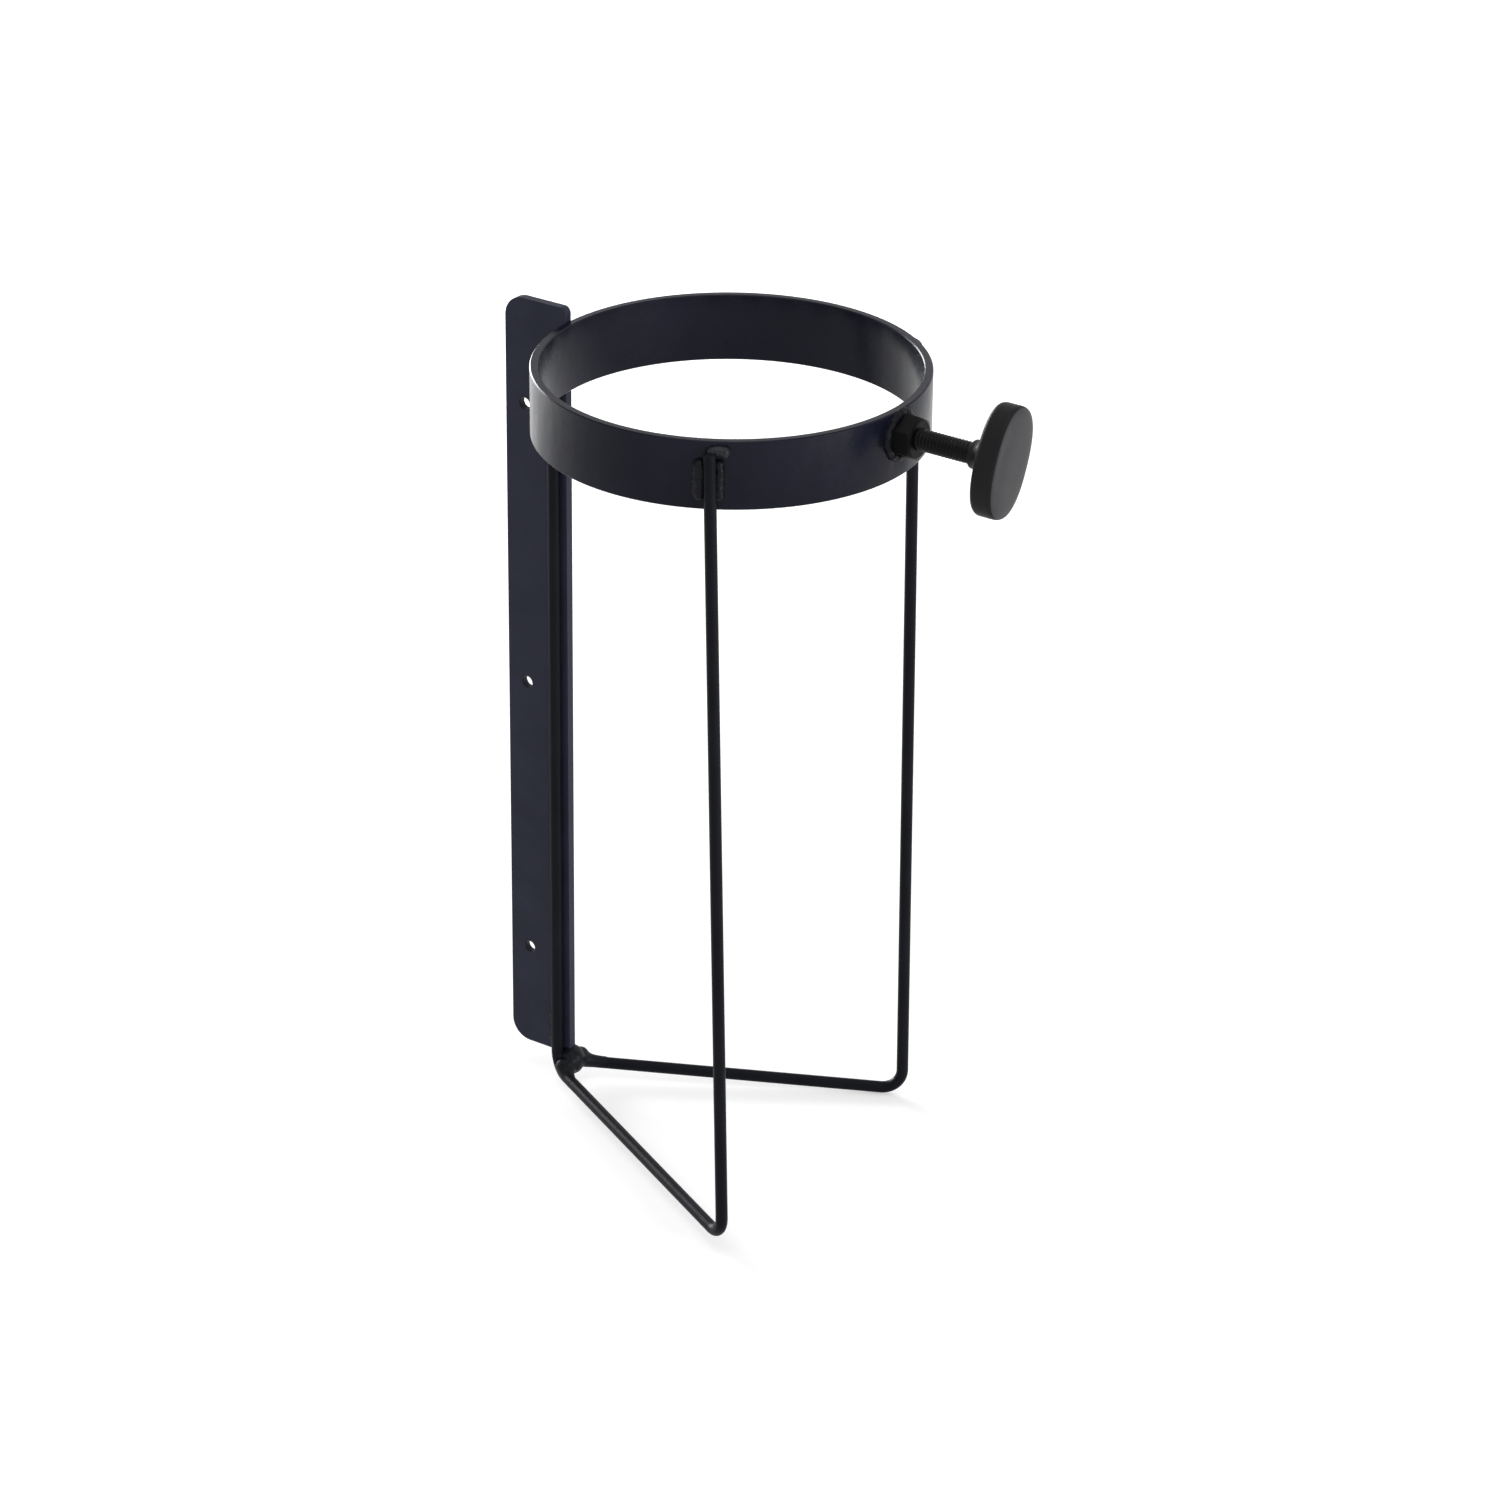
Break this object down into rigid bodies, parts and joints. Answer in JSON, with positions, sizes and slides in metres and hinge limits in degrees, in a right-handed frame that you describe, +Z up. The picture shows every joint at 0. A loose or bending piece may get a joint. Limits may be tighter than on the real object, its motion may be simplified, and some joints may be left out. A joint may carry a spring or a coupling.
{
  "type": "gas cylinder bracket",
  "caption": "Welded wire and strip bracket that holds a small gas cylinder upright in a ring, clamped by a thumbscrew.",
  "frame": {"origin": "centre of the middle screw hole, at mid thickness of the bar, which is also the centre of the line of holes", "axes": "+Z up along the bar, +X from the bar to the ring and the thumbscrew, +Y along the screw holes"},
  "size_m": [0.216, 0.1454, 0.3247],
  "materials": {
    "bar_coat": "satin black powder coat",
    "ring_coat": "satin black powder coat",
    "wire_coat": "satin black powder coat",
    "weld_coat": "satin black powder coat",
    "nut_coat": "satin black powder coat",
    "stud_steel": "black oxide",
    "knob_plastic": "fine moulded grain",
    "tip_nylon": "natural nylon"
  },
  "bodies": {
    "bracket": {"mounting_bar": "bar_coat", "ring_band": "ring_coat", "left_wire": "wire_coat", "right_wire": "wire_coat", "left_ring_weld": "weld_coat", "right_ring_weld": "weld_coat", "left_leg_welds": "weld_coat", "right_leg_welds": "weld_coat", "left_bar_welds": "weld_coat", "right_bar_welds": "weld_coat", "foot_weld": "weld_coat", "weld_nut": "nut_coat", "nut_weld": "weld_coat"},
    "tip": {"soft_tip": "tip_nylon"},
    "thumbscrew": {"thumbscrew_stud": "stud_steel", "oval_knob": "knob_plastic"}
  },
  "joints": [
    {"name": "tip_slide", "type": "slide", "parent": "bracket", "child": "tip", "axis": [-1, 0, 0], "range_m": [0, 0.0213]},
    {"name": "screw_turn", "type": "hinge", "parent": "tip", "child": "thumbscrew", "pos_m": [0.16193, 0, 0.13915], "axis": [-1, 0, 0], "range_deg": [0, 5400]}
  ],
  "couplings": [
    {"joint": "tip_slide", "follows": "screw_turn", "m_per_rad": 0.00022459}
  ]
}
